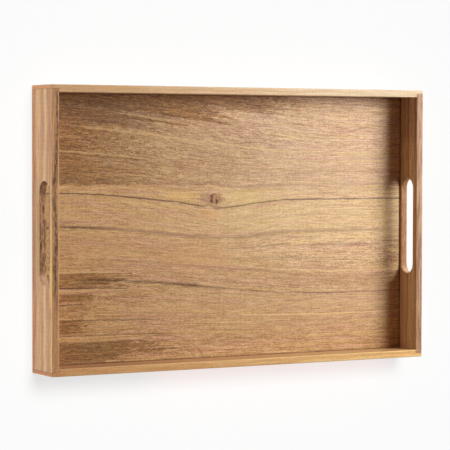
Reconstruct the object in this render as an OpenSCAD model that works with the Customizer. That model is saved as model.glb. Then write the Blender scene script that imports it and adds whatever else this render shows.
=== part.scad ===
// Serving tray in oiled hardwood: a shallow open box on a veneered base, with a hand slot through each end.
// X runs along the tray, Y across it and Z out of its mouth. The origin is the centre of the underside.

/* [Tray] */
// Overall length, along the long side boards
tray_l = 430; // [300:1:560]
// Overall width, along the end boards
tray_w = 281; // [220:1:400]
// Height of all four side boards
tray_h = 46; // [40:1:80]

/* [Boards] */
// Thickness of the long side boards
rail_t = 7.5; // [7:0.5:14]
// Thickness of the end boards
end_t = 8; // [7:0.5:14]
// Thickness of the rail's lip, which covers the end board's end grain
lip_t = 4; // [3:0.1:4]
// Radius of the eased edges of the rim, the underside and the outer corners
arris_r = 1; // [0.4:0.1:1.4]

/* [Base] */
// Height of the base panel's underside above the bottom edges of the boards
base_lift = 10; // [8:0.5:12]
// Thickness of the plywood core
core_t = 3.8; // [3:0.1:6]
// Thickness of each of the two veneers
veneer_t = 0.6; // [0.4:0.1:1]
// Depth of the groove that holds the base panel
groove_depth = 3.5; // [2:0.1:3.6]
// Space left above the panel in its groove
groove_room = 0.2; // [0.1:0.05:0.4]
// Gap between the panel's edges and the bottom of the groove
panel_gap = 0.3; // [0.1:0.1:0.8]

/* [Hand slots] */
// Length of a hand slot from end to end
slot_l = 100; // [80:1:130]
// Height of a hand slot
slot_h = 21; // [16:0.5:24]
// Height of the slot's lower edge above the tray's floor
slot_rise = 2.5; // [2.5:0.5:6]
// Distance that both slots sit off the middle of the end boards, towards the back when positive
slot_off = -2.5; // [-6:0.5:6]
// Radius that eases the slot's edges on both faces
slot_ease = 1.5; // [0.5:0.1:2]

/* [Corner pins] */
// Diameter of a headless pin
pin_d = 1.6; // [1.2:0.1:1.8]
// Length of a pin
pin_l = 22; // [16:1:30]
// Depth that a pin's top is set below the face of the rail
pin_set = 0.4; // [0:0.1:1]
// Clearance round a pin, on the radius
pin_fit = 0.02; // [0.01:0.01:0.05]
// Distance from the lowest and the highest pin to the nearest edge of the board
pin_edge = 5; // [4:0.5:6]

/* [Hidden] */

round_fn = 64;
// Overshoot of a cutter past the face that it leaves
past = 1;

half_l = tray_l / 2;
half_w = tray_w / 2;
// Half the inner length and width, between the boards
well_x = half_l - end_t;
well_y = half_w - rail_t;
// Where the end board's end grain meets the rail's lip
lip_y = half_w - lip_t;

panel_t = core_t + 2 * veneer_t;
panel_x = well_x + groove_depth - panel_gap;
panel_y = well_y + groove_depth - panel_gap;
face_z = base_lift + panel_t;

slot_r = slot_h / 2;
slot_z = face_z + slot_rise + slot_r;
// Distance from the slot's middle to the centre of its round end
slot_reach = slot_l / 2 - slot_r;

pin_x = half_l - end_t / 2;
pin_heights = [pin_edge, (face_z + tray_h) / 2 - pin_edge / 2, tray_h - pin_edge];

rail_wood = [0.62, 0.42, 0.24];
end_wood = [0.58, 0.38, 0.23];
face_wood = [0.50, 0.30, 0.17];
back_wood = [0.66, 0.48, 0.30];
core_wood = [0.80, 0.66, 0.46];
pin_steel = [0.62, 0.62, 0.60];

// Rectangle from the origin with all four corners rounded
module eased_rect(w, h, r) {
    translate([r, 0]) square([w - 2 * r, h]);
    translate([0, r]) square([w, h - 2 * r]);
    for (x = [r, w - r], y = [r, h - r])
        translate([x, y]) circle(r = r, $fn = round_fn);
}

// Section of one board: its outer face is square, and both edges of its inner face are eased.
// The inner face lies along the vertical axis and the thickness runs to the right.
module board_section(t) {
    translate([arris_r, 0]) square([t - arris_r, tray_h]);
    translate([0, arris_r]) square([t, tray_h - 2 * arris_r]);
    for (y = [arris_r, tray_h - arris_r])
        translate([arris_r, y]) circle(r = arris_r, $fn = round_fn);
}

// The outer form of the whole tray with every outer edge eased, as it is sanded after the glue has set
module sanded_outside() {
    intersection() {
        translate([-half_l, -half_w, 0])
            linear_extrude(tray_h) eased_rect(tray_l, tray_w, arris_r);
        translate([-half_l, half_w, 0]) rotate([90, 0, 0])
            linear_extrude(tray_w) eased_rect(tray_l, tray_h, arris_r);
        translate([-half_l, -half_w, 0]) rotate([90, 0, 90])
            linear_extrude(tray_l) eased_rect(tray_w, tray_h, arris_r);
    }
}

// A long side wall from end to end at +Y, before its joints are cut
module rail_wall() {
    translate([-half_l, well_y, 0]) rotate([90, 0, 90])
        linear_extrude(tray_l) board_section(rail_t);
}

// An end wall between the rails at +X, before its joints are cut
module end_wall() {
    translate([well_x, well_y, 0]) rotate([90, 0, 0])
        linear_extrude(2 * well_y) board_section(end_t);
}

// The groove's space, which runs along the inner faces of all four boards
module groove_space() {
    translate([-well_x - groove_depth, -well_y - groove_depth, base_lift])
        cube([2 * (well_x + groove_depth), 2 * (well_y + groove_depth), panel_t + groove_room]);
}

// A row of pins, or of their holes, down the corner at +X and +Y
module pin_row(r, top, length) {
    for (z = pin_heights)
        translate([pin_x, half_w - top, z]) rotate([90, 0, 0])
            cylinder(r = r, h = length, $fn = round_fn);
}

// The holes of one corner, open at the rail's face and as deep as the pins reach
module pin_holes() {
    pin_row(pin_d / 2 + pin_fit, -past, pin_l + pin_set + past);
}

// The end board's end, which fills the rabbet and carries on the eased edge of the rail
module end_tongue() {
    intersection() {
        rail_wall();
        translate([well_x, well_y, 0]) cube([end_t, lip_y - well_y, tray_h]);
    }
}

// Slot-shaped solid through the end board at +X, along X
module slot_core() {
    translate([well_x - past, slot_off, slot_z]) rotate([90, 0, 90]) {
        for (u = [-slot_reach, slot_reach])
            translate([u, 0, 0]) cylinder(r = slot_r, h = end_t + 2 * past, $fn = round_fn);
        translate([-slot_reach, -slot_r, 0]) cube([2 * slot_reach, slot_h, end_t + 2 * past]);
    }
}

// Section of what the easing takes off at the slot's edge: the face is at height 0 and the wood lies above it
module ease_section() {
    difference() {
        translate([slot_r - past, 0]) square([slot_ease + past, slot_ease]);
        translate([slot_r + slot_ease, slot_ease]) circle(r = slot_ease, $fn = round_fn);
    }
}

// The easing all the way round the slot on a face at height 0, with the slot along the first axis
module slot_easing() {
    for (side = [0, 180])
        rotate([0, 0, side]) {
            translate([slot_reach, 0, 0]) rotate([0, 0, -90])
                rotate_extrude(angle = 180, $fn = round_fn) ease_section();
            translate([slot_reach, 0, 0]) rotate([90, 0, -90])
                linear_extrude(2 * slot_reach) ease_section();
        }
}

// Everything that the hand slot takes out of the end board at +X
module hand_slot() {
    slot_core();
    translate([well_x, slot_off, slot_z]) rotate([90, 0, 90]) slot_easing();
    translate([half_l, slot_off, slot_z]) rotate([90, 0, 90]) mirror([0, 0, 1]) slot_easing();
}

// Long side board at +Y: a rabbet at each end leaves the lip, and the groove runs out into the rabbets
module rail_board() {
    difference() {
        intersection() {
            rail_wall();
            sanded_outside();
        }
        for (side = [0, 1])
            mirror([side, 0, 0]) {
                translate([well_x, well_y - past, -past])
                    cube([end_t + past, lip_y - well_y + past, tray_h + 2 * past]);
                pin_holes();
            }
        groove_space();
    }
}

// End board at +X: it fits into the rabbets of both rails
module end_board() {
    difference() {
        intersection() {
            union() {
                end_wall();
                end_tongue();
                mirror([0, 1, 0]) end_tongue();
            }
            sanded_outside();
        }
        groove_space();
        hand_slot();
        for (side = [0, 1])
            mirror([0, side, 0]) pin_holes();
    }
}

// One layer of the base panel, from height z up
module panel_layer(z, t) {
    translate([-panel_x, -panel_y, z]) cube([2 * panel_x, 2 * panel_y, t]);
}

module pins() {
    pin_row(pin_d / 2, pin_set, pin_l);
}

module front_rail() {
    color(rail_wood) mirror([0, 1, 0]) rail_board();
}

module back_rail() {
    color(rail_wood) rail_board();
}

module left_end() {
    color(end_wood) mirror([1, 0, 0]) end_board();
}

module right_end() {
    color(end_wood) end_board();
}

module base_core() {
    color(core_wood) panel_layer(base_lift + veneer_t, core_t);
}

module base_face_veneer() {
    color(face_wood) panel_layer(face_z - veneer_t, veneer_t);
}

module base_back_veneer() {
    color(back_wood) panel_layer(base_lift, veneer_t);
}

module pins_front_left() {
    color(pin_steel) mirror([1, 0, 0]) mirror([0, 1, 0]) pins();
}

module pins_front_right() {
    color(pin_steel) mirror([0, 1, 0]) pins();
}

module pins_back_left() {
    color(pin_steel) mirror([1, 0, 0]) pins();
}

module pins_back_right() {
    color(pin_steel) pins();
}

front_rail();
back_rail();
left_end();
right_end();
base_core();
base_face_veneer();
base_back_veneer();
pins_front_left();
pins_front_right();
pins_back_left();
pins_back_right();
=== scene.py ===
"""Oiled hardwood serving tray: wood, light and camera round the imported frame.

The boards, the base and the pins are the frame's own nodes. Each board and each layer of the base gets
its own wood, with the fibres along it, the pins get steel, and putty fills the holes over them. Lengths
in the materials are in millimetres, and everything else is in metres.
"""
import math

import bpy
from mathutils import Matrix, Vector


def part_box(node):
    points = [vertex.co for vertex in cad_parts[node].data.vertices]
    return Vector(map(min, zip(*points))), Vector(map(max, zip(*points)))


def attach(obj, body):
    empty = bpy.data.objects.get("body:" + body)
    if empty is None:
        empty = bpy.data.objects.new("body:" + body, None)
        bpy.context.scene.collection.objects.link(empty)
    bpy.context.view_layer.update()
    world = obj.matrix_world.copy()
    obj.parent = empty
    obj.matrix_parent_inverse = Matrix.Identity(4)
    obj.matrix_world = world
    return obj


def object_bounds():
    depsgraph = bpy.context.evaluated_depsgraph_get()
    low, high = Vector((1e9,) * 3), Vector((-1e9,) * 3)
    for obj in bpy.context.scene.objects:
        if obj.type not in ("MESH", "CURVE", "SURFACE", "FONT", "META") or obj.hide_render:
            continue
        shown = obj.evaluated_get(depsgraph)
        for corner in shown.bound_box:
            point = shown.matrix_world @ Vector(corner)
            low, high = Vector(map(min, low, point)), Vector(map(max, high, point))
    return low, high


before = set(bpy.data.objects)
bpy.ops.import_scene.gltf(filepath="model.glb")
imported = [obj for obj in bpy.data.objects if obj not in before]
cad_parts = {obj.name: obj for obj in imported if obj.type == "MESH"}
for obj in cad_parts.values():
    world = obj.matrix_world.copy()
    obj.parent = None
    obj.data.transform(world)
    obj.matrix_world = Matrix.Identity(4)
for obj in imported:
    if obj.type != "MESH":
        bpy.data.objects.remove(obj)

scene = bpy.context.scene
cad_low, cad_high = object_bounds()

MM = 0.001
# The well between the boards, the height of its floor and the end grain of the end boards, in millimetres
WELL_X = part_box("right_end")[0].x / MM
WELL_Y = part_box("back_rail")[0].y / MM
FLOOR_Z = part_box("base_face_veneer")[1].z / MM
LIP_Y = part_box("right_end")[1].y / MM
HALF_L = cad_high.x / MM
RIM_Z = cad_high.z / MM

# The hand slots: length, height, rise above the floor, and the middle of both, in millimetres
SLOT_L = 100
SLOT_H = 21
SLOT_RISE = 2.5
SLOT_Y = -2.5
SLOT_Z = FLOOR_Z + SLOT_RISE + SLOT_H / 2

# The growth rings of an end board lean, so that they are close together on its rim
RING_LEAN = 3
RING_SPAN = RIM_Z + RING_LEAN * (HALF_L - WELL_X)

# The middle of the knot in the floor, in millimetres
KNOT_X, KNOT_Y = -18.5, 28

ALONG_X = (0, 0, 0)
ALONG_Y = (0, 0, math.radians(-90))


# Colours and nodes

def tint(red, green, blue):
    """A colour from its usual 0 to 255 values, as the linear values that the nodes take."""
    def linear(value):
        share = value / 255
        return share / 12.92 if share <= 0.04045 else ((share + 0.055) / 1.055) ** 2.4
    return (linear(red), linear(green), linear(blue), 1)


# The brown that dulls clean wood where it is darker, and that paints shade on the floor beside the right slot
# and along the back rail
SHADE_AND_DULL_BROWN = tint(112, 62, 18)


class Bench:
    """Sets nodes out in one tree and joins them up. A feed is a socket or a plain value."""

    def __init__(self, tree):
        self.tree = tree

    def join(self, feed, socket):
        if isinstance(feed, bpy.types.NodeSocket):
            self.tree.links.new(feed, socket)
        else:
            socket.default_value = feed

    def node(self, kind, feeds=None, **settings):
        made = self.tree.nodes.new(kind)
        for name, value in settings.items():
            setattr(made, name, value)
        for place, feed in (feeds or {}).items():
            self.join(feed, made.inputs[place])
        return made

    def maths(self, operation, *feeds):
        return self.node("ShaderNodeMath", dict(enumerate(feeds)), operation=operation).outputs[0]

    def chain(self, operation, feeds):
        """Takes the feeds together one after the other."""
        result = feeds[0]
        for feed in feeds[1:]:
            result = self.maths(operation, result, feed)
        return result

    def plus(self, *feeds):
        return self.chain("ADD", feeds)

    def minus(self, whole, part):
        return self.maths("SUBTRACT", whole, part)

    def times(self, *feeds):
        return self.chain("MULTIPLY", feeds)

    def most(self, *feeds):
        return self.chain("MAXIMUM", feeds)

    def apart(self, one, other):
        """How far two values are from each other."""
        return self.maths("ABSOLUTE", self.minus(one, other))

    def vector(self, operation, *feeds):
        return self.node("ShaderNodeVectorMath", dict(enumerate(feeds)), operation=operation).outputs[0]

    def normal(self):
        """The direction that the surface faces, along the object's own axes."""
        return self.node("ShaderNodeTexCoord").outputs["Normal"]

    def length(self, vector):
        return self.node("ShaderNodeVectorMath", {0: vector}, operation="LENGTH").outputs[1]

    def point(self, x, y, z):
        return self.node("ShaderNodeCombineXYZ", {0: x, 1: y, 2: z}).outputs[0]

    def split(self, vector):
        return self.node("ShaderNodeSeparateXYZ", {0: vector}).outputs

    def fade(self, value, start, end, low=0, high=1):
        """low up to start, high from end on, and a smooth change between them."""
        feeds = {0: value, 1: start, 2: end, 3: low, 4: high}
        return self.node("ShaderNodeMapRange", feeds, interpolation_type="SMOOTHSTEP").outputs[0]

    def noise(self, vector, detail, roughness=0.55, distortion=0):
        feeds = {"Vector": vector, "Scale": 1, "Detail": detail, "Roughness": roughness,
                 "Distortion": distortion}
        return self.node("ShaderNodeTexNoise", feeds).outputs[0]

    def cloud(self, vector, size, detail=2):
        """Noise whose lumps are about as large as size."""
        return self.noise(self.vector("DIVIDE", vector, size), detail)

    def blend(self, share, under, over):
        """share of the colour over, on the colour under."""
        made = self.node("ShaderNodeMix", data_type="RGBA")
        for place, feed in ((0, share), (6, under), (7, over)):
            self.join(feed, made.inputs[place])
        return made.outputs[2]

    def ramp(self, value, *stops):
        """A colour ramp. Each stop is a place from 0 to 1 and a colour."""
        made = self.node("ShaderNodeValToRGB", {0: value})
        elements = made.color_ramp.elements
        while len(elements) < len(stops):
            elements.new(1)
        for element, (place, colour) in zip(elements, stops):
            element.position = place
            element.color = colour
        return made.outputs[0]

    def three_tones(self, value, start, end, dark, middle, pale):
        """dark up to start, middle at 0.5 and pale from end on."""
        return self.ramp(value, (start, dark), (0.5, middle), (end, pale))

    def use(self, group, **feeds):
        """Places a node group. An underscore in a feed's name stands for a space."""
        made = self.node("ShaderNodeGroup", node_tree=group)
        for name, feed in feeds.items():
            self.join(feed, made.inputs[name.replace("_", " ")])
        return made.outputs


def clear_bench(owner):
    """A bench for the emptied nodes of a material or a world."""
    owner.use_nodes = True
    owner.node_tree.nodes.clear()
    return Bench(owner.node_tree)


def put_in_scene(name, data):
    """A new object in the scene, made of a mesh, a lamp or a lens."""
    thing = bpy.data.objects.new(name, data)
    scene.collection.objects.link(thing)
    return thing


def start_group(name, inputs, outputs):
    """A bench in a new node group, and its input sockets.

    An input of None is a vector. Any other is a value, and starts out at what is given.
    """
    tree = bpy.data.node_groups.new(name, "ShaderNodeTree")
    for label, value in inputs.items():
        kind = "NodeSocketVector" if value is None else "NodeSocketFloat"
        socket = tree.interface.new_socket(label, in_out="INPUT", socket_type=kind)
        if value is not None:
            socket.default_value = value
    for label in outputs:
        tree.interface.new_socket(label, in_out="OUTPUT", socket_type="NodeSocketFloat")
    return Bench(tree), tree.nodes.new("NodeGroupInput").outputs


def end_group(bench, *results):
    """Joins the results to the group's outputs and returns the group."""
    out = bench.tree.nodes.new("NodeGroupOutput")
    for socket, result in zip(out.inputs, results):
        bench.join(result, socket)
    return bench.tree


# Effects that several woods share

def into_cells(bench, given):
    """A group's vector in cells as long and wide as it is given, moved on by its seed."""
    size = bench.point(given["Length"], given["Width"], given["Width"])
    shift = bench.point(given["Seed"], given["Seed"], given["Seed"])
    return bench.vector("ADD", bench.vector("DIVIDE", given["Vector"], size), shift)


def make_fibres():
    """Streaks that run along X. The value is about 0.5 on average."""
    bench, given = start_group(
        "fibres", {"Vector": None, "Length": 40, "Width": 2, "Waviness": 0.3, "Seed": 0}, ["Value"]
    )
    return end_group(bench, bench.noise(into_cells(bench, given), 3, 0.6, given["Waviness"]))


def make_pores():
    """Short dark dashes along X, one or none to a cell."""
    bench, given = start_group(
        "open_pores", {"Vector": None, "Length": 6, "Width": 1, "Amount": 0.6, "Seed": 0}, ["Mask"]
    )
    cells = bench.node("ShaderNodeTexVoronoi", {"Vector": into_cells(bench, given), "Scale": 1})
    dash = bench.fade(cells.outputs["Distance"], 0.18, 0.42, 1, 0)
    kept = bench.maths("LESS_THAN", bench.split(cells.outputs["Color"])[0], given["Amount"])
    return end_group(bench, bench.times(dash, kept))


def make_dark_patch():
    """A patch of heartwood with ragged ends and cleaner sides, that follows the fibres."""
    bench, given = start_group(
        "dark_patch",
        {"Vector": None, "Ragged": 0, "Middle X": 0, "Middle Y": 0, "Half length": 50,
         "Half width": 10, "End fade": 20, "Side fade": 2, "Strength": 1},
        ["Mask"],
    )
    x, y, _ = bench.split(given["Vector"])
    beyond_x = bench.apart(x, given["Middle X"])
    beyond_y = bench.apart(y, given["Middle Y"])
    room_x = bench.plus(bench.minus(given["Half length"], beyond_x), given["Ragged"])
    room_y = bench.minus(given["Half width"], beyond_y)
    room_y = bench.maths("MULTIPLY_ADD", given["Ragged"], 0.06, room_y)
    ends = bench.fade(room_x, 0, given["End fade"])
    sides = bench.fade(room_y, 0, given["Side fade"])
    return end_group(bench, bench.times(ends, sides, given["Strength"]))


def make_grain_line():
    """A fine line where the height across the fibres passes a level. Swell makes it uneven."""
    bench, given = start_group(
        "grain_line", {"Vector": None, "Level": 0, "Width": 0.6, "Swell": 0, "From X": -200,
                       "To X": 200, "End fade": 30, "Strength": 1},
        ["Mask"],
    )
    x, y, _ = bench.split(given["Vector"])
    off = bench.apart(y, given["Level"])
    uneven = bench.cloud(given["Vector"], (14, 6, 6), 3)
    uneven = bench.fade(uneven, 0.4, 0.62, 0, given["Swell"])
    width = bench.maths("MULTIPLY_ADD", given["Width"], uneven, given["Width"])
    line = bench.fade(off, 0, width, 1, 0)
    start = bench.fade(x, bench.minus(given["From X"], given["End fade"]), given["From X"])
    stop = bench.fade(x, given["To X"], bench.plus(given["To X"], given["End fade"]), 1, 0)
    return end_group(bench, bench.times(line, bench.times(start, stop, given["Strength"])))


def make_edge_wear_and_highlight():
    """Where a face turns over a rounded edge, which is painted paler: partly sanded wear, partly a painted
    highlight.
    """
    bench, given = start_group("edge_wear_and_highlight", {"Normal": None}, ["Mask"])
    sides = bench.split(bench.vector("ABSOLUTE", given["Normal"]))
    return end_group(bench, bench.fade(bench.most(*sides), 0.995, 0.85, 0, 1))


def make_end_grain():
    """Where a rail's fibres come out at its ends, which drink more oil than its sides."""
    bench, given = start_group("end_grain", {"Normal": None}, ["Mask"])
    facing = bench.maths("ABSOLUTE", bench.split(given["Normal"])[0])
    return end_group(bench, bench.fade(facing, 0.6, 0.9))


def make_glue_seam():
    """The fine dark seams of the corner joints: along the end of the end board, and at its shoulder."""
    bench, given = start_group("glue_seam", {"Vector": None, "Half width": 0.4}, ["Mask"])
    x, y, _ = bench.split(bench.vector("ABSOLUTE", given["Vector"]))
    off_lip = bench.apart(y, LIP_Y)
    off_shoulder = bench.apart(x, WELL_X)
    on_end = bench.maths("GREATER_THAN", x, WELL_X)
    on_rail = bench.times(bench.maths("GREATER_THAN", y, WELL_Y), bench.maths("LESS_THAN", y, LIP_Y))
    lip = bench.times(bench.fade(off_lip, 0, given["Half width"], 1, 0), on_end)
    shoulder = bench.times(bench.fade(off_shoulder, 0, given["Half width"], 1, 0), on_rail)
    return end_group(bench, bench.most(lip, shoulder))


def make_slot_wall():
    """The inside of a hand slot, up to where its eased edges run out on the faces."""
    bench, given = start_group("slot_wall", {"Vector": None, "Normal": None, "Reach": 1.6}, ["Mask"])
    _, y, z = bench.split(given["Vector"])
    beside = bench.apart(y, SLOT_Y)
    above = bench.apart(z, SLOT_Z)
    in_length = bench.maths("LESS_THAN", beside, bench.plus(SLOT_L / 2, given["Reach"]))
    in_height = bench.maths("LESS_THAN", above, bench.plus(SLOT_H / 2, given["Reach"]))
    facing = bench.maths("ABSOLUTE", bench.split(given["Normal"])[0])
    turned = bench.fade(facing, 0.35, 0.97, 1, 0)
    return end_group(bench, bench.times(in_length, in_height, turned))


def make_corner_shade():
    """Painted shade where the floor meets the boards, uneven along its edge."""
    bench, given = start_group("corner_shade", {"Vector": None, "Reach": 1.4}, ["Mask"])
    x, y, z = bench.split(bench.vector("ABSOLUTE", given["Vector"]))
    inward = bench.maths("MINIMUM", bench.minus(WELL_X, x), bench.minus(WELL_Y, y))
    up = bench.minus(z, FLOOR_Z)
    away = bench.most(bench.maths("ABSOLUTE", inward), bench.maths("ABSOLUTE", up))
    uneven_edge = bench.cloud(given["Vector"], (6, 6, 3), 3)
    reach = bench.times(given["Reach"], bench.fade(uneven_edge, 0.4, 0.62, 0.85, 1.2))
    return end_group(bench, bench.fade(bench.maths("DIVIDE", away, reach), 0.2, 1, 0.65, 0))


def make_sheen():
    """The roughness of an oiled surface, rougher in the pores and uneven where the oil dried."""
    bench, given = start_group("oiled_sheen", {"Vector": None, "Pores": 0, "Base": 0.45}, ["Roughness"])
    cloud = bench.noise(bench.vector("MULTIPLY", given["Vector"], (0.02, 0.06, 0.06)), 2)
    uneven = bench.fade(cloud, 0.3, 0.7, -0.06, 0.06)
    open_wood = bench.times(given["Pores"], 0.25)
    return end_group(bench, bench.plus(given["Base"], uneven, open_wood))


FIBRES = make_fibres()
PORES = make_pores()
DARK_PATCH = make_dark_patch()
GRAIN_LINE = make_grain_line()
EDGE_WEAR_AND_HIGHLIGHT = make_edge_wear_and_highlight()
END_GRAIN = make_end_grain()
GLUE_SEAM = make_glue_seam()
SLOT_WALL = make_slot_wall()
CORNER_SHADE = make_corner_shade()
SHEEN = make_sheen()


def fibres(bench, along, length, width, waviness, seed):
    """Streaks along the fibres, with a length and a width in millimetres."""
    return bench.use(FIBRES, Vector=along, Length=length, Width=width, Waviness=waviness, Seed=seed)[0]


def dark_patch(bench, along, middle_x, middle_y, half_l, half_w, end_fade, side_fade, strength, ragged=0):
    """The mask of one patch along the fibres, in millimetres."""
    return bench.use(
        DARK_PATCH, Vector=along, Ragged=ragged, Middle_X=middle_x, Middle_Y=middle_y, Half_length=half_l,
        Half_width=half_w, End_fade=end_fade, Side_fade=side_fade, Strength=strength)[0]


def grain_line(bench, along, level, width, swell, from_x, to_x, end_fade, strength):
    """The mask of one line along the fibres, in millimetres."""
    return bench.use(
        GRAIN_LINE, Vector=along, Level=level, Width=width, Swell=swell, From_X=from_x, To_X=to_x,
        End_fade=end_fade, Strength=strength)[0]


def two_tone(bench, wood, value, low, high, strength=None):
    """Wood that takes one colour where a value is low and another where it is high.

    low and high are each the start and the end of a fade, its share and its colour.
    """
    for (start, end, share, colour), rises in ((low, False), (high, True)):
        if strength is not None:
            share = bench.times(strength, share)
        ends = (0, share) if rises else (share, 0)
        wood = bench.blend(bench.fade(value, start, end, *ends), wood, colour)
    return wood


# What every board has

def start_wood(name, turn):
    """A new material: its bench, its millimetre coordinates, the same along its fibres, and its shader."""
    material = bpy.data.materials.new(name)
    bench = clear_bench(material)
    place = bench.node("ShaderNodeTexCoord").outputs["Object"]
    place = bench.vector("MULTIPLY", place, (1 / MM, 1 / MM, 1 / MM))
    along = bench.node("ShaderNodeMapping", {0: place, 2: turn}).outputs[0]
    shader = bench.node("ShaderNodeBsdfPrincipled", {"Specular IOR Level": 0.2})
    bench.node("ShaderNodeOutputMaterial", {0: shader.outputs[0]})
    return material, bench, place, along, shader


def set_surface(bench, shader, place, wood, fine, pores, base, hollows, relief):
    """Feeds the shader its colour, its sheen, and a relief in which fibres stand up and hollows lie low."""
    bench.join(wood, shader.inputs["Base Color"])
    bench.join(bench.use(SHEEN, Vector=place, Pores=pores, Base=base)[0], shader.inputs["Roughness"])
    height = bench.minus(bench.times(fine, 0.5), hollows)
    bump = bench.node("ShaderNodeBump", {"Strength": relief, "Distance": 0.1 * MM, "Height": height})
    bench.join(bump.outputs[0], shader.inputs["Normal"])


# The floor's figured veneer

def follow_fibres(bench, place):
    """Coordinates that straighten the veneer's fibres: one for its streaks and one for its growth lines."""
    x, y, z = bench.split(place)
    # The middle fibres sink towards the right and rise again a little past the knot
    middle = bench.plus(bench.fade(x, -190, 10, 0, 13.5), bench.fade(x, 0, 75, 0, -5))
    upper = bench.fade(x, -260, 150, 0, 32)
    lower = bench.fade(x, -170, 130, 0, 22)
    in_upper = bench.fade(y, 30, 85)
    in_lower = bench.fade(y, -10, -55)
    sink = bench.maths("MULTIPLY_ADD", bench.minus(upper, middle), in_upper, middle)
    sink = bench.maths("MULTIPLY_ADD", bench.minus(lower, middle), in_lower, sink)
    sink = bench.times(sink, bench.fade(y, -115, -65, 0.2, 1))
    # They part round the knot
    beside = bench.apart(x, KNOT_X)
    above = bench.minus(y, KNOT_Y)
    push = bench.times(bench.fade(beside, 0, 45, 1, 0), bench.fade(above, -6, 6, 3.5, -3.5))
    push = bench.times(push, bench.fade(bench.maths("ABSOLUTE", above), 4, 40, 1, 0))
    clean = bench.plus(y, sink, push)
    # The growth line under the knot jumps up to it
    kink = bench.fade(bench.apart(x, -26), 0, 7, 3.2, 0)
    kink = bench.times(kink, bench.fade(y, 0, 15))
    ripple = bench.cloud(place, (11, 7, 7), 3)
    ripple = bench.fade(ripple, 0.2, 0.8, -0.45, 0.45)
    lines = bench.point(x, bench.minus(bench.plus(clean, ripple), kink), z)
    # The streaks wander, and they curl where the heartwood ends
    wander = bench.fade(bench.cloud(place, (90, 26, 26)), 0.2, 0.8, -0.6, 0.6)
    curl = bench.fade(bench.cloud(place, (8, 5, 5), 3), 0.2, 0.8, -0.8, 0.8)
    curly = bench.fade(bench.cloud(place, (45, 22, 22)), 0.5, 0.66, 0, 0.25)
    in_curls = dark_patch(bench, place, -135, 84, 40, 18, 20, 8, 1.8)
    curl = bench.times(curl, bench.most(curly, in_curls))
    return bench.point(x, bench.plus(clean, wander, curl), z), lines


def lay_clean_wood(bench, streaks, place):
    """Golden wood in long streaks: warmer at the left, pinker at the back right, duller at front and back,
    and painted shade by the back rail and the right slot.
    """
    x, y, _ = bench.split(place)
    bands = fibres(bench, streaks, 260, 8, 0.1, 3)
    warm = bench.three_tones(bands, 0.36, 0.64, tint(226, 162, 104), tint(235, 175, 110), tint(244, 190, 116))
    pale = bench.three_tones(bands, 0.36, 0.64, tint(230, 182, 145), tint(238, 195, 152), tint(247, 209, 154))
    wood = bench.blend(bench.fade(x, -200, 130), warm, pale)
    back_right = bench.fade(bench.maths("MULTIPLY_ADD", y, 3, x), 60, 330)
    mottle = bench.fade(bench.cloud(streaks, (30, 9, 9), 3), 0.35, 0.65, 0.6, 1)
    wood = bench.blend(bench.times(mottle, back_right), wood, tint(228, 180, 154))
    off_slot = bench.apart(y, SLOT_Y)
    off_slot_end = bench.apart(y, SLOT_Y + 38)
    dull_and_shade = bench.plus(
        bench.fade(y, -120, -15, 0.33, 0),
        # The back, and at its right a painted shadow of the back rail along its foot
        bench.fade(y, 35, 110, 0, 0.16),
        bench.fade(y, 100, 125, 0, 0.06),
        bench.times(bench.fade(x, 80, 125), bench.fade(y, 118, 128, 0, 0.38)),
        # The front, more at its right and along its edge, and a band behind it
        bench.times(bench.fade(x, -80, 100), bench.fade(y, -100, -35, 0.2, 0)),
        bench.fade(y, -130, -92, 0.33, 0),
        bench.fade(y, -131, -112, 0.16, 0),
        bench.fade(bench.apart(y, -54), 10, 30, 0.2, 0),
        # Painted shade on the floor beside the right slot, and by its round back end
        bench.times(bench.fade(x, 181, 194), bench.fade(off_slot, 48, 60, 0.8, 0)),
        bench.times(bench.fade(x, 174, 194), bench.fade(off_slot_end, 2, 14, 0.35, 0)),
    )
    wood = bench.blend(dull_and_shade, wood, SHADE_AND_DULL_BROWN)
    wood = bench.blend(bench.fade(y, -110, -75, 0.42, 0), wood, tint(204, 154, 88))
    wood = bench.blend(bench.fade(y, -35, -5, 0.1, 0), wood, tint(232, 166, 74))
    in_middle = bench.fade(bench.apart(y, 12), 14, 30, 0.42, 0)
    wood = bench.blend(bench.times(in_middle, bench.fade(x, -120, 20, 0.3, 1)), wood, tint(244, 210, 148))
    streak = fibres(bench, streaks, 150, 2, 0.1, 7)
    return two_tone(bench, wood, streak, (0.34, 0.48, 0.08, tint(176, 118, 94)),
                    (0.52, 0.66, 0.08, tint(250, 212, 146)))


def lay_fine_fibres(bench, streaks, place, wood):
    """Pink and yellow streaks, and fine fibres, specks and strands that stand out more behind the knot."""
    x, y, _ = bench.split(place)
    behind = bench.fade(y, 38, 48)
    rough = bench.maths("MULTIPLY_ADD", behind, 0.24, 1.06)
    spotty = bench.times(behind, bench.fade(x, -40, 90, 1, 0.2))
    spotty = bench.maths("MULTIPLY_ADD", spotty, 0.8, 1.06)
    fibre = fibres(bench, streaks, 55, 0.55, 0, 12.37)
    speck = fibres(bench, streaks, 1.8, 0.5, 0, 17.71)
    strand = fibres(bench, streaks, 12, 0.5, 0, 41.59)
    hue = fibres(bench, streaks, 90, 4, 0, 28.43)
    for value, strength, low, high in (
        (hue, None, (0.36, 0.5, 0.7, tint(230, 164, 142)), (0.5, 0.64, 0.6, tint(232, 186, 106))),
        (fibre, rough, (0.4, 0.49, 0.42, tint(164, 112, 78)), (0.51, 0.6, 0.45, tint(252, 212, 158))),
        (speck, spotty, (0.4, 0.5, 0.42, tint(148, 102, 74)), (0.5, 0.62, 0.48, tint(254, 218, 172))),
        (strand, spotty, (0.38, 0.5, 0.32, tint(142, 90, 60)), (0.5, 0.62, 0.4, tint(255, 222, 176))),
    ):
        wood = two_tone(bench, wood, value, low, high, strength)
    return wood, fibre, speck


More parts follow.
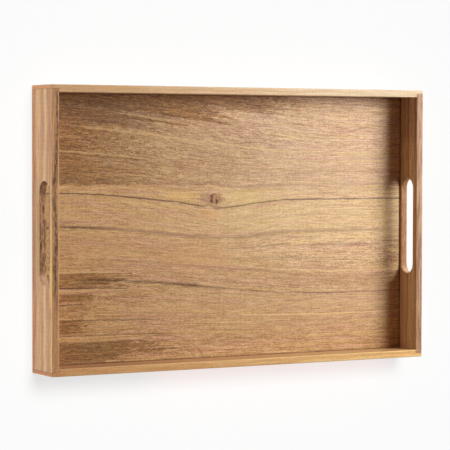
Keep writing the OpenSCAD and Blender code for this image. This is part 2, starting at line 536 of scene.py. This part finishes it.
def lay_broad_tones(bench, place, wood):
    """Orange at the left and the front, a paler middle, painted shade by the right slot, and duller wood at
    the front right.
    """
    x, y, _ = bench.split(place)
    rich = bench.most(bench.fade(x, -70, 60, 0.1, 0), bench.fade(y, -60, -10, 0.075, 0))
    wood = bench.blend(rich, wood, tint(205, 116, 20))
    in_middle = bench.fade(bench.apart(y, 10), 16, 34, 0.13, 0)
    wood = bench.blend(bench.times(in_middle, bench.fade(x, -50, 20)), wood, tint(255, 214, 148))
    # Painted shade on the floor beside the right slot
    beside_slot_shade = bench.fade(bench.apart(y, SLOT_Y), 44, 56, 0.2, 0)
    wood = bench.blend(bench.times(bench.fade(x, 182, 191), beside_slot_shade), wood, SHADE_AND_DULL_BROWN)
    at_front = bench.fade(y, -124, -104, 0.12, 0)
    return bench.blend(bench.times(bench.fade(x, 90, 125), at_front), wood, SHADE_AND_DULL_BROWN)


def lay_heartwood(bench, streaks, place, wood, fibre, speck):
    """Olive-brown heartwood that comes in from the left, a faint wash of it further on, and a darker back
    left corner that is partly painted shade.
    """
    long_tooth = fibres(bench, streaks, 44, 1.5, 0.2, 5)
    short_tooth = fibres(bench, streaks, 7, 2.4, 0.8, 8)
    teeth = bench.plus(
        bench.fade(long_tooth, 0.38, 0.62, -16, 16), bench.fade(short_tooth, 0.38, 0.62, -15, 15))
    few_teeth = bench.times(teeth, 0.4)
    left = -HALF_L

    def patch(ragged, *shape):
        return dark_patch(bench, streaks, *shape, ragged)

    upper = bench.most(
        patch(teeth, left, 137, 205, 13, 10, 2, 1),
        patch(teeth, left, 117, 112, 10, 20, 4, 1),
        patch(teeth, left, 102, 96, 11, 22, 4, 1),
        patch(teeth, left, 87, 74, 9, 16, 4, 1),
        patch(teeth, left, 72, 78, 9.5, 16, 3, 0.9),
        patch(teeth, left, 56, 100, 13, 16, 2, 0.9),
        patch(teeth, left, 100, 130, 45, 30, 4, 0.6),
        patch(teeth, left, 56, 152, 14, 30, 3, 0.55),
        patch(few_teeth, -105, 118.8, 62, 1.5, 20, 1.2, 1),
        patch(teeth, -60, 159, 138, 18.5, 40, 2, 0.95),
        patch(teeth, -60, 90, 120, 44, 60, 8, 0.27),
    )
    # The upper patches stop a little behind the clear growth line
    _, y, _ = bench.split(place)
    edge = bench.maths("MULTIPLY_ADD", few_teeth, 0.08, y)
    upper = bench.times(upper, bench.fade(edge, 41.5, 44))
    lower = bench.most(
        patch(teeth, left, -50.5, 94, 9, 16, 3, 0.9),
        patch(few_teeth, left, -47, 82, 1.6, 12, 1.2, 0.85),
        patch(few_teeth, left, -53.5, 92, 1.8, 12, 1.2, 0.85),
        patch(few_teeth, left, -67.5, 62, 4.4, 8, 1.5, 0.95),
        patch(few_teeth, -143, -68.8, 7, 1.8, 3, 1, 0.9),
        patch(teeth, left, -80, 60, 8, 20, 3, 0.6),
        patch(few_teeth, left, -96, 52, 8, 8, 2, 0.95),
        patch(few_teeth, left, -120.5, 108, 10, 8, 1.5, 1),
        patch(teeth, left, -131, 92, 4, 14, 2, 0.9),
        patch(teeth, -100, -119, 24, 8, 5, 3, 0.9),
        patch(teeth, left, -134, 150, 3, 20, 2, 0.7),
    )
    gap = patch(few_teeth, -108, -127.5, 19, 3.6, 6, 1.5, 0.85)
    lower = bench.times(lower, bench.minus(1, gap))
    heart = bench.most(
        upper,
        lower,
        patch(teeth, 130, -35, 110, 7, 40, 6, 0.22),
        patch(teeth, 90, 74, 150, 5, 60, 5, 0.2),
        patch(teeth, 5, -108, 45, 14, 40, 8, 0.18),
    )
    tone = fibres(bench, streaks, 40, 3, 0.5, 19)
    mixed = bench.maths("MULTIPLY_ADD", bench.plus(fibre, speck), 0.7, -0.2)
    dark = bench.three_tones(mixed, 0.38, 0.62, tint(102, 61, 30), tint(139, 92, 52), tint(190, 129, 70))
    light = bench.three_tones(mixed, 0.38, 0.62, tint(118, 75, 41), tint(159, 109, 64), tint(208, 148, 86))
    heartwood = bench.blend(bench.fade(tone, 0.38, 0.6), dark, light)
    heartwood = bench.blend(bench.fade(speck, 0.56, 0.64, 0, 0.5), heartwood, tint(206, 140, 76))
    fleck = fibres(bench, streaks, 7, 1.1, 0.5, 37)
    heartwood = two_tone(bench, heartwood, fleck, (0.36, 0.46, 0.7, tint(92, 60, 34)),
                         (0.54, 0.63, 0.7, tint(214, 162, 92)))
    heartwood = bench.blend(bench.fade(y, -115, -85, 0.3, 0), heartwood, tint(124, 102, 74))
    wood = bench.blend(bench.times(heart, 0.94), wood, heartwood)
    # The back left corner darker still: heartwood with painted shade of the corner over it
    return bench.blend(patch(teeth, -175, 122, 112, 18, 40, 10, 0.34), wood, tint(80, 48, 28))


def lay_growth_lines(bench, lines, wood):
    """Lines that follow the tree's growth: pale, soft, dark and clear ones, and faint arcs at the front."""
    x, y, _ = bench.split(lines)
    left, right = -HALF_L, HALF_L

    def line(*shape):
        return grain_line(bench, lines, *shape)

    pale = bench.most(
        line(121.6, 0.9, 1, -120, -70, 20, 0.4),
        line(104.5, 1.4, 1, -150, 50, 40, 0.5),
        line(79, 1.2, 1, left, -130, 30, 0.35),
        line(-42.5, 1.4, 0.3, left, -150, 20, 0.6),
        line(-60.5, 1.3, 0.3, left, -165, 30, 0.45),
        line(-27.5, 1.2, 0.4, 60, right, 40, 0.45),
        line(-82, 1.2, 0.4, 30, right, 40, 0.7),
        line(49.5, 2, 0.2, -24, -4, 10, 0.45),
    )
    wood = bench.blend(pale, wood, tint(250, 206, 146))
    # The arcs lie round a point at the front, and are drawn out along the fibres
    from_point = bench.vector("ADD", bench.point(x, y, 0), (80, 140, 0))
    arcs = bench.point(x, bench.length(bench.vector("DIVIDE", from_point, (1.5, 1, 1))), 0)
    soft = bench.most(
        grain_line(bench, arcs, 27, 0.9, 0.9, -90, 20, 20, 0.32),
        grain_line(bench, arcs, 33.5, 0.8, 0.9, -90, 20, 20, 0.32),
        line(2, 2.3, 0.8, -150, 150, 60, 0.42),
        line(-9.3, 1, 0.8, 0, 50, 30, 0.5),
        line(-10.5, 0.8, 0.3, 100, 170, 30, 0.5),
        line(53, 2.4, 0.6, -60, right, 60, 0.3),
        line(-30, 1.2, 0.6, -150, 60, 60, 0.3),
        line(-19, 1, 0.6, -100, 90, 60, 0.3),
    )
    wood = bench.blend(soft, wood, tint(134, 82, 74))
    clear = bench.most(
        line(35, 1.1, 0.1, left, -40, 30, 0.9),
        line(35, 1.2, 0.4, 0, right, 40, 0.75),
    )
    dark = bench.most(
        line(2, 1.4, 0.8, left, -165, 40, 0.85),
        line(-50.5, 1.8, 1.2, -150, -45, 40, 0.8),
        line(-50.5, 1, 0.6, -20, right, 20, 0.6),
        line(-58, 0.9, 0.2, left, -125, 12, 0.9),
        line(-74, 0.8, 0.2, left, -165, 12, 0.8),
        line(-90, 0.8, 0.2, left, -90, 20, 0.8),
        line(-104.8, 0.8, 0.2, left, -85, 20, 0.8),
        line(76.5, 0.9, 0.8, left, -110, 30, 0.55),
    )
    broken = bench.cloud(lines, (16, 6, 6), 3)
    dark = bench.times(dark, bench.fade(broken, 0.38, 0.56, 0.55, 1))
    wood = bench.blend(dark, wood, tint(84, 54, 34))
    return bench.blend(clear, wood, tint(86, 48, 50)), bench.most(dark, clear)


def lay_knot(bench, place, wood):
    """The knot: golden and dull halos along the fibres, a rim darkest at its left, and a dark heart."""
    wobble = bench.fade(bench.cloud(place, (3, 3, 3)), 0.2, 0.8, -1.2, 1.2)
    x, y, _ = bench.split(place)

    def reach(middle_x, middle_y, stretch):
        """The distance from a middle, with lengths along the fibres divided by stretch."""
        across = bench.maths("DIVIDE", bench.minus(x, middle_x), stretch)
        spot = bench.point(across, bench.minus(y, middle_y), 0)
        return bench.plus(bench.length(spot), wobble)

    def circle(away, radius, width):
        return bench.fade(bench.apart(away, radius), 0.2, width, 1, 0)

    for middle_x, middle_y, stretch, width, share, colour in (
        (KNOT_X + 32, KNOT_Y + 2, 3.4, 9, 0.35, tint(248, 212, 128)),
        (KNOT_X - 40, KNOT_Y + 3, 4, 7, 0.36, tint(250, 202, 116)),
        (KNOT_X - 6, KNOT_Y - 16, 2.6, 9, 0.3, tint(240, 176, 112)),
        (KNOT_X - 1, KNOT_Y - 1, 2, 8, 0.5, tint(178, 126, 94)),
        (KNOT_X - 20, KNOT_Y - 60, 3.4, 16, 0.22, tint(236, 168, 104)),
        (KNOT_X - 10, KNOT_Y + 1, 1.8, 7, 0.5, tint(172, 122, 106)),
        (KNOT_X + 3, KNOT_Y - 9, 2.2, 3, 0.4, tint(164, 110, 100)),
    ):
        cloud = bench.fade(reach(middle_x, middle_y, stretch), 0.3 * width, width, share, 0)
        wood = bench.blend(cloud, wood, colour)
    away = reach(KNOT_X, KNOT_Y, 1.1)
    wood = bench.blend(bench.fade(away, 4.4, 6, 0.8, 0), wood, tint(206, 150, 104))
    rim = bench.times(
        circle(away, 5, 1), bench.fade(x, KNOT_X - 3, KNOT_X + 5, 0.8, 0.25),
        bench.fade(y, KNOT_Y - 4, KNOT_Y))
    thick = bench.times(
        circle(reach(KNOT_X + 1.4, KNOT_Y - 0.4, 1.1), 5.1, 2.2),
        bench.fade(x, KNOT_X - 4.5, KNOT_X - 1, 1, 0), bench.fade(y, KNOT_Y - 6, KNOT_Y - 3))
    heart = bench.fade(reach(KNOT_X + 1.5, KNOT_Y - 2.2, 0.85), 1.2, 2.6, 0.95, 0)
    ring = bench.times(circle(reach(KNOT_X + 0.9, KNOT_Y - 1.2, 1.1), 3.2, 0.7), 0.5)
    foot = bench.fade(reach(KNOT_X + 1, KNOT_Y - 5.2, 1.4), 0.4, 1.5, 0.85, 0)
    return bench.blend(bench.most(rim, thick, heart, ring, foot), wood, tint(92, 50, 40))


def make_face_wood():
    """The figured veneer of the tray's floor: a knot, growth lines and heartwood patches."""
    material, bench, place, _, shader = start_wood("figured_veneer", ALONG_X)
    streaks, lines = follow_fibres(bench, place)
    wood = lay_clean_wood(bench, streaks, place)
    wood, fibre, speck = lay_fine_fibres(bench, streaks, place, wood)
    wood = lay_broad_tones(bench, place, wood)
    wood = lay_heartwood(bench, streaks, place, wood, fibre, speck)
    pores = bench.use(PORES, Vector=streaks, Length=5, Width=0.8, Amount=0.5, Seed=2)[0]
    wood = bench.blend(bench.times(pores, 0.34), wood, tint(112, 66, 44))
    wood, dark_lines = lay_growth_lines(bench, lines, wood)
    wood = lay_knot(bench, place, wood)
    # Painted shade where the floor meets the boards
    wood = bench.blend(bench.use(CORNER_SHADE, Vector=place)[0], wood, tint(92, 54, 32))
    set_surface(bench, shader, place, wood, fibre, pores, 0.5, bench.most(pores, dark_lines), 0.4)
    return material


# The boards, the core and the pins

def lay_bands(bench, along, width, seed, dark, middle, pale):
    """Bands of colour nearly as long as a rail."""
    return bench.three_tones(fibres(bench, along, 380, width, 0.2, seed), 0.34, 0.64, dark, middle, pale)


def lay_board(bench, along, wood, dark, pale, pore_colour, seed):
    """Fine fibres, specks and pores over a board's wood."""
    fine = fibres(bench, along, 40, 1.1, 0.3, seed + 4)
    wood = two_tone(bench, wood, fine, (0.36, 0.5, 0.6, dark), (0.52, 0.66, 0.5, pale))
    speck = fibres(bench, along, 5, 1, 0.6, seed + 6)
    wood = bench.blend(bench.fade(speck, 0.34, 0.46, 0.35, 0), wood, dark)
    pores = bench.use(PORES, Vector=along, Length=4.5, Width=0.6, Amount=0.5, Seed=seed + 2)[0]
    wood = bench.blend(bench.times(pores, 0.4), wood, pore_colour)
    return wood, fine, pores


def finish_board(bench, shader, place, wood, fine, pores, pale, slot=None):
    """Seams, paler edges from wear and a painted highlight, painted shade where they meet the floor, sheen
    and relief, which every board has. A slot's edges aren't made paler.
    """
    wear_and_highlight = bench.use(EDGE_WEAR_AND_HIGHLIGHT, Normal=bench.normal())[0]
    if slot is not None:
        wear_and_highlight = bench.times(wear_and_highlight, bench.minus(1, slot))
    # Rounded edges painted paler: sanded wear and a painted highlight
    wood = bench.blend(bench.times(wear_and_highlight, 0.5), wood, pale)
    seam = bench.use(GLUE_SEAM, Vector=place)[0]
    wood = bench.blend(bench.times(seam, 0.5), wood, tint(104, 64, 40))
    # Painted shade on the boards where they meet the floor
    corner_shading = bench.use(CORNER_SHADE, Vector=place, Reach=2.2)[0]
    wood = bench.blend(corner_shading, wood, tint(74, 42, 26))
    set_surface(bench, shader, place, wood, fine, pores, 0.46, pores, 0.3)


def make_rail_wood(name, inward, tones, left_tone, right_tone, end_colour, seed):
    """A rail: inward is 1 or -1, and tones are dark, middle and pale, with the colour of the pores last."""
    dark, middle, pale, pore_colour = tones
    material, bench, place, along, shader = start_wood(name, ALONG_X)
    x = bench.split(place)[0]
    wood = lay_bands(bench, along, 5, seed, dark, middle, pale)
    wood = bench.blend(bench.fade(x, -HALF_L, 150, 0.75, 0), wood, left_tone)
    wood = bench.blend(bench.fade(x, 60, 190, 0, 0.6), wood, right_tone)
    wood, fine, pores = lay_board(bench, along, wood, dark, pale, pore_colour, seed)
    # The inner face is painted darker as shade, most of all at its left
    normal = bench.normal()
    facing = bench.times(bench.split(normal)[1], inward)
    inner_shade = bench.fade(x, -160, -60, 0.5, 0.36)
    wood = bench.blend(bench.times(bench.fade(facing, 0.4, 0.9), inner_shade), wood, tint(140, 104, 96))
    end_grain = bench.use(END_GRAIN, Normal=normal)[0]
    wood = bench.blend(bench.times(end_grain, 0.8), wood, end_colour)
    finish_board(bench, shader, place, wood, fine, pores, pale)
    return material


def cross_rings(bench, place, sway, length):
    """How far across its growth rings a place on an end board lies, and the same with its length."""
    x, y, z = bench.split(place)
    inward = bench.minus(HALF_L, bench.maths("ABSOLUTE", x))
    across = bench.maths("MULTIPLY_ADD", inward, RING_LEAN, z)
    cloud = bench.cloud(place, (30, length, 30))
    across = bench.plus(across, bench.fade(cloud, 0.25, 0.75, -sway, sway))
    return across, bench.point(y, across, 0)


def ring_ramp(bench, across, *stops):
    """Colours across the growth rings. Each stop is a height across them and a colour."""
    stops = [(height / RING_SPAN, colour) for height, colour in stops]
    return bench.ramp(bench.maths("DIVIDE", across, RING_SPAN), *stops)


def make_left_end_wood():
    """Striped wood with a dark streak along its rim and a rough hand slot, with burn marks and painted shade
    at its back end and painted shade along its upper edge.
    """
    material, bench, place, along, shader = start_wood("striped_end_wood", ALONG_Y)
    _, y, z = bench.split(place)
    across, rings = cross_rings(bench, place, 2.2, 70)
    dark, pale, pore_colour = tint(176, 124, 92), tint(250, 208, 146), tint(124, 80, 54)
    purple = tint(196, 151, 120)
    wood = ring_ramp(
        bench, across, (1, tint(216, 142, 92)), (6, tint(186, 134, 98)), (13, tint(226, 184, 138)),
        (18, tint(226, 176, 130)), (24, purple), (30, tint(244, 202, 146)), (36, purple),
        (43, tint(206, 150, 116)), (46, tint(240, 190, 126)), (52, tint(238, 176, 128)),
        (60, tint(230, 167, 120)), (66, tint(236, 176, 124)), (70, tint(242, 182, 128)))
    wood, fine, pores = lay_board(bench, along, wood, dark, pale, pore_colour, 47)
    # The streak lies near the rim's inner edge at the back, then on its middle, and further in at the front
    wavy = bench.cloud(place, (20, 16, 20), 3)
    drift = bench.plus(
        bench.fade(y, 50, 128, 0, 8), bench.fade(wavy, 0.25, 0.75, -3, 3),
        bench.fade(y, -60, -28, 3.5, 0))
    drifted = bench.point(y, bench.minus(bench.split(rings)[1], drift), 0)
    streak = grain_line(bench, drifted, 57.5, 9, 0.6, -50, 120, 40, 0.95)
    broken = bench.cloud(along, (5, 1.2, 1.2), 3)
    streak = bench.times(streak, bench.fade(broken, 0.35, 0.6, 0.35, 1))
    wood = bench.blend(streak, wood, tint(92, 56, 40))
    golden_edge = grain_line(bench, rings, 47, 3.2, 0.5, -140, 0, 30, 1)
    wood = bench.blend(golden_edge, wood, tint(255, 214, 122))
    front_stain = dark_patch(bench, rings, -105, 64, 45, 9, 30, 5, 0.12)
    wood = bench.blend(front_stain, wood, tint(128, 78, 62))
    off_slot = bench.apart(y, SLOT_Y)
    below_slot = bench.times(bench.fade(off_slot, 50, 64, 0.22, 0), bench.fade(z, 15, 19, 1, 0))
    wood = bench.blend(below_slot, wood, tint(128, 84, 52))
    # The slot's inside is rough and clean at its front end; its back end is darker, with burn marks from the
    # cutter and painted shade
    slot = bench.use(SLOT_WALL, Vector=place, Normal=bench.normal())[0]
    torn = fibres(bench, along, 9, 2, 0.5, 51)
    rough = bench.three_tones(torn, 0.36, 0.64, tint(94, 60, 38), tint(170, 122, 84), tint(220, 172, 124))
    rough = bench.blend(bench.fade(y, SLOT_Y - 44, SLOT_Y - 36, 0.75, 0), rough, tint(226, 186, 146))
    rough = bench.blend(bench.fade(y, SLOT_Y + 34, SLOT_Y + 43, 0, 0.35), rough, tint(84, 54, 34))
    wood = bench.blend(bench.times(slot, 0.9), wood, rough)
    # A thin line of painted shade, broken in places, follows the slot's upper edge
    slot_top = SLOT_Z + SLOT_H / 2 + 1.6
    slot_edge_shade = grain_line(bench, bench.point(y, z, 0), slot_top, 1.3, 0.8, -50, 40, 6, 0.9)
    dots = bench.cloud(along, (5, 5, 5))
    slot_edge_shade = bench.times(slot_edge_shade, bench.fade(dots, 0.42, 0.58, 0.25, 1))
    wood = bench.blend(slot_edge_shade, wood, tint(60, 34, 20))
    finish_board(bench, shader, place, wood, fine, pores, pale, slot)
    return material


def make_right_end_wood():
    """Rosy wood with a dark line inside, a browner rim and a hand slot that is pale at its front end."""
    material, bench, place, along, shader = start_wood("rosy_end_wood", ALONG_Y)
    y = bench.split(place)[1]
    across, _ = cross_rings(bench, place, 2, 70)
    dark, pale, pore_colour = tint(150, 100, 68), tint(226, 180, 136), tint(110, 68, 44)
    # The rings run up the outer face and on across the rim, and the inner face shows the last ones again
    wood = ring_ramp(
        bench, across, (2, tint(208, 158, 120)), (20, tint(226, 178, 138)), (34, tint(218, 166, 128)),
        (40, tint(234, 194, 154)), (50, tint(240, 200, 162)), (52.4, tint(236, 194, 154)),
        (54.4, tint(170, 122, 88)), (56.4, tint(254, 228, 190)), (64, tint(254, 230, 196)),
        (67, tint(230, 186, 150)))
    normal = bench.normal()
    outward, _, upward = bench.split(normal)
    cloud = bench.fade(bench.cloud(along, (26, 2.5, 2.5), 3), 0.36, 0.62)
    rosy = bench.blend(cloud, tint(156, 110, 82), tint(194, 152, 120))
    browner = bench.blend(cloud, tint(136, 92, 62), tint(188, 144, 108))
    rosy = bench.blend(bench.fade(y, -90, 40, 0.7, 0), rosy, browner)
    wood = bench.blend(bench.fade(upward, 0.5, 0.9), wood, rosy)
    wood, fine, pores = lay_board(bench, along, wood, dark, pale, pore_colour, 59)
    # The inner face is paler at its front and duller at its back
    inside = bench.fade(outward, -0.9, -0.5, 1, 0)
    wood = bench.blend(bench.times(inside, bench.fade(y, -70, -45, 0.3, 0)), wood, tint(255, 240, 214))
    wood = bench.blend(bench.times(inside, bench.fade(y, 78, 94, 0, 0.22)), wood, tint(112, 74, 50))
    slot = bench.use(SLOT_WALL, Vector=place, Normal=normal)[0]
    torn = fibres(bench, along, 8, 2, 0.5, 53)
    rough = bench.ramp(torn, (0.32, tint(84, 52, 32)), (0.42, tint(146, 94, 54)), (0.62, tint(178, 122, 72)))
    rough = bench.blend(bench.fade(y, SLOT_Y - 48, SLOT_Y - 42, 0.6, 0), rough, tint(240, 200, 166))
    wood = bench.blend(bench.times(slot, 0.85), wood, rough)
    finish_board(bench, shader, place, wood, fine, pores, pale, slot)
    return material


def make_plain_wood(name, tones, seed, stripe):
    """A layer of the base: tones are dark, middle and pale, with the colour of the pores last."""
    dark, middle, pale, pore_colour = tones
    material, bench, place, along, shader = start_wood(name, ALONG_X)
    wood = lay_bands(bench, along, stripe, seed, dark, middle, pale)
    wood, fine, pores = lay_board(bench, along, wood, dark, pale, pore_colour, seed)
    set_surface(bench, shader, place, wood, fine, pores, 0.5, pores, 0.3)
    return material


def make_pin_steel():
    """Drawn steel wire, with its drawing marks along the pin."""
    material, bench, _, along, shader = start_wood("drawn_steel", ALONG_Y)
    marks = fibres(bench, along, 8, 0.12, 0.3, 1)
    steel = bench.ramp(marks, (0.3, tint(150, 150, 148)), (0.7, tint(190, 190, 188)))
    bench.join(steel, shader.inputs["Base Color"])
    shader.inputs["Metallic"].default_value = 1
    bench.join(bench.fade(marks, 0.3, 0.7, 0.3, 0.45), shader.inputs["Roughness"])
    return material


def finish_nodes():
    """Gives every node of the frame its wood or, for the pins, its steel."""
    woods = {
        "back_rail": make_rail_wood(
            "pale_rail_wood", -1,
            (tint(214, 174, 134), tint(242, 208, 168), tint(248, 223, 190), tint(150, 108, 76)),
            tint(250, 184, 118), tint(206, 178, 142), tint(216, 152, 104), 21),
        "front_rail": make_rail_wood(
            "golden_rail_wood", 1,
            (tint(212, 154, 94), tint(242, 190, 126), tint(254, 212, 146), tint(130, 82, 48)),
            tint(246, 178, 120), tint(244, 192, 124), tint(190, 124, 84), 33),
        "left_end": make_left_end_wood(),
        "right_end": make_right_end_wood(),
        "base_face_veneer": make_face_wood(),
        "base_back_veneer": make_plain_wood(
            "plain_back_veneer",
            (tint(196, 152, 108), tint(218, 178, 134), tint(230, 196, 154), tint(150, 104, 70)), 71, 14),
        "base_core": make_plain_wood(
            "plywood",
            (tint(208, 178, 136), tint(224, 198, 158), tint(236, 214, 178), tint(170, 134, 96)), 83, 1.3),
    }
    steel = make_pin_steel()
    for name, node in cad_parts.items():
        material = woods.get(name, steel)
        for slot in node.material_slots:
            slot.material = material


# Putty over the pins

def find_pins():
    """The middle of each pin hole's mouth, between a pin's end and the rail's face, and a pin's diameter."""
    middles = []
    for name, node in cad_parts.items():
        if not name.startswith("pins_"):
            continue
        low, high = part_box(name)
        face = math.copysign(cad_high.y, high.y)
        end = high.y if face > 0 else low.y
        diameter = high.x - low.x
        # The heights of the pins' outlines, with a gap between one pin and the next
        heights = sorted({round((node.matrix_world @ vertex.co).z, 5) for vertex in node.data.vertices})
        start = heights[0]
        for height, following in zip(heights, heights[1:] + [math.inf]):
            if following - height > diameter:
                middles.append(((low.x + high.x) / 2, (face + end) / 2, (start + height) / 2))
                start = following
    return middles, diameter


def make_putty():
    """Wood putty, a little redder than the rail and without grain."""
    material, bench, place, _, shader = start_wood("pin_putty", ALONG_X)
    crumb = bench.cloud(place, (0.4, 0.4, 0.4), 3)
    putty = bench.ramp(crumb, (0.35, tint(170, 112, 76)), (0.65, tint(196, 138, 98)))
    bench.join(putty, shader.inputs["Base Color"])
    bench.join(bench.fade(crumb, 0.3, 0.7, 0.65, 0.8), shader.inputs["Roughness"])
    return material


def build_fill_tree(putty):
    """The geometry nodes that put a round fill of putty on every point."""
    tree = bpy.data.node_groups.new("pin_fills", "GeometryNodeTree")
    bench = Bench(tree)
    tree.interface.new_socket("Geometry", in_out="INPUT", socket_type="NodeSocketGeometry")
    keys = {}
    for label in ("Radius", "Depth", "Unevenness"):
        socket = tree.interface.new_socket(label, in_out="INPUT", socket_type="NodeSocketFloat")
        keys[label] = socket.identifier
    tree.interface.new_socket("Geometry", in_out="OUTPUT", socket_type="NodeSocketGeometry")
    given = tree.nodes.new("NodeGroupInput").outputs
    disc = bench.node("GeometryNodeMeshCylinder", {"Vertices": 24, "Radius": given["Radius"],
                                                   "Depth": given["Depth"]}).outputs["Mesh"]
    least = bench.minus(1, given["Unevenness"])
    size = bench.node("FunctionNodeRandomValue", data_type="FLOAT")
    bench.join(least, size.inputs[2])
    bench.join(1, size.inputs[3])
    size.inputs["Seed"].default_value = 4
    scale = bench.point(1, 1, size.outputs[1])
    fills = bench.node("GeometryNodeInstanceOnPoints", {
        "Points": given["Geometry"], "Instance": disc, "Rotation": (math.radians(90), 0, 0), "Scale": scale,
    }).outputs[0]
    solid = bench.node("GeometryNodeRealizeInstances", {"Geometry": fills}).outputs[0]
    finished = bench.node("GeometryNodeSetMaterial", {"Geometry": solid, "Material": putty}).outputs[0]
    bench.node("NodeGroupOutput", {0: finished})
    return tree, keys


def fill_pin_holes():
    """Putty in the mouth of every pin hole, just below the rail's face."""
    middles, pin_size = find_pins()
    mesh = bpy.data.meshes.new("pin_fill_points")
    mesh.from_pydata(middles, [], [])
    points = put_in_scene("pin_fill_points", mesh)
    putty = make_putty()
    tree, keys = build_fill_tree(putty)
    filling = points.modifiers.new("fill", "NODES")
    filling.node_group = tree
    # A fill takes up most of the mouth, and stays clear of the pin's end and of the rail's face
    mouth = cad_high.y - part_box("pins_back_left")[1].y
    filling[keys["Radius"]] = pin_size / 2
    filling[keys["Depth"]] = mouth * 0.8
    filling[keys["Unevenness"]] = 0.25
    depsgraph = bpy.context.evaluated_depsgraph_get()
    filled = bpy.data.meshes.new_from_object(points.evaluated_get(depsgraph), depsgraph=depsgraph)
    points.modifiers.remove(filling)
    bpy.data.objects.remove(points)
    fills = put_in_scene("pin_fills", filled)
    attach(fills, "root")


# Stage, light and camera

def white_share(bench, share):
    """share for rays from the camera and through gloss or glass, and nothing for the others."""
    path = bench.node("ShaderNodeLightPath").outputs
    seen = bench.most(path["Is Camera Ray"], path["Is Glossy Ray"], path["Is Transmission Ray"])
    return bench.times(seen, share)


def make_table():
    """A plain pale table top that looks white and keeps the tray's soft shadow."""
    half = 3
    mesh = bpy.data.meshes.new("table")
    corners = [(-half, -half, 0), (half, -half, 0), (half, half, 0), (-half, half, 0)]
    mesh.from_pydata(corners, [], [(0, 1, 2, 3)])
    table = put_in_scene("table", mesh)
    material = bpy.data.materials.new("white_table")
    bench = clear_bench(material)
    lit = bench.node("ShaderNodeBsdfDiffuse", {"Color": (0.89, 0.9, 0.9, 1)}).outputs[0]
    white = bench.node("ShaderNodeEmission", {"Color": (1, 1, 1, 1), "Strength": 1}).outputs[0]
    mixed = bench.node("ShaderNodeMixShader", {0: white_share(bench, 0.73), 1: lit, 2: white})
    bench.node("ShaderNodeOutputMaterial", {0: mixed.outputs[0]})
    mesh.materials.append(material)
    return table


def light_room():
    """Even, dim light from all round, and a white wall behind everything."""
    world = bpy.data.worlds.new("studio")
    scene.world = world
    bench = clear_bench(world)
    room = bench.node("ShaderNodeBackground", {"Color": (1, 1, 1, 1), "Strength": 0.02}).outputs[0]
    wall = bench.node("ShaderNodeBackground", {"Color": (1, 1, 1, 1), "Strength": 0.97}).outputs[0]
    mixed = bench.node("ShaderNodeMixShader", {0: white_share(bench, 1), 1: room, 2: wall})
    bench.node("ShaderNodeOutputWorld", {0: mixed.outputs[0]})


def hang_lamp(name, kind, place, target, energy, lit, **settings):
    """A lamp at place that points at target and lights only the objects in lit."""
    data = bpy.data.lights.new(name, kind)
    data.energy = energy
    for setting, value in settings.items():
        setattr(data, setting, value)
    lamp = put_in_scene(name, data)
    turn = (Vector(target) - Vector(place)).to_track_quat("-Z", "Y")
    lamp.matrix_world = Matrix.Translation(place) @ turn.to_matrix().to_4x4()
    lamp.visible_camera = False
    reached = bpy.data.collections.new(name + "_lights")
    for thing in lit:
        reached.objects.link(thing)
    lamp.light_linking.receiver_collection = reached


def light_tray(table):
    """Lamps for the tray and for the table under it.

    Two softboxes high at the back right and a faint warm bounce from above light the tray. A low lamp
    at the left fills in its left end and its rails. A sun lights the table, and a weak lamp reddens it
    at the front rail's foot.
    """
    tray = list(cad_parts.values())
    near_side = [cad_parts[name] for name in ("left_end", "front_rail", "back_rail")]
    origin = (0, 0, 0)
    middle = (0, 0, 0.02)
    cool_disk = {"shape": "DISK", "color": (0.94, 1, 1)}
    hang_lamp("softbox", "AREA", (0.72, 0.26, 0.69), middle, 8.4, tray, size=0.5, **cool_disk)
    hang_lamp("bright_wall", "AREA", (0.84, 0.32, 0.72), middle, 5.4, tray, size=1, **cool_disk)
    hang_lamp("warm_bounce", "SUN", (0, 0, 1), origin, 0.18, tray, angle=math.radians(170),
              color=(1, 0.45, 0.14))
    hang_lamp("table_light", "SUN", (0, 0.4, 1), origin, 3.2, [table], angle=math.radians(26))
    glow = Vector((0.06, cad_low.y - 0.001, 0.016))
    hang_lamp("rail_glow", "AREA", glow, glow - Vector((0, 0.012, 0.016)), 0.024, [table],
              shape="RECTANGLE", size=0.28, size_y=0.01, color=(1, 0.3, 0.18))
    hang_lamp("low_fill", "AREA", (-0.9, 0, 0.022), (0, 0, 0.022), 1.9, near_side,
              shape="RECTANGLE", size=0.8, size_y=0.04)


def set_camera():
    """A long lens up and to the left of the tray, turned so that the back rail is uppermost."""
    lens = bpy.data.cameras.new("camera")
    lens.sensor_width = 36
    lens.lens = 170.6
    camera = put_in_scene("camera", lens)
    stand = Matrix.Translation((-1.0741, 0.0835, 1.9017))
    swing = Matrix.Rotation(math.radians(-29.49), 4, "Y")
    nod = Matrix.Rotation(math.radians(-2.171), 4, "X")
    roll = Matrix.Rotation(math.radians(0.116), 4, "Z")
    camera.matrix_world = stand @ swing @ nod @ roll
    scene.camera = camera


scene.view_settings.view_transform = "Standard"
set_camera()
finish_nodes()
fill_pin_holes()
light_room()
light_tray(make_table())
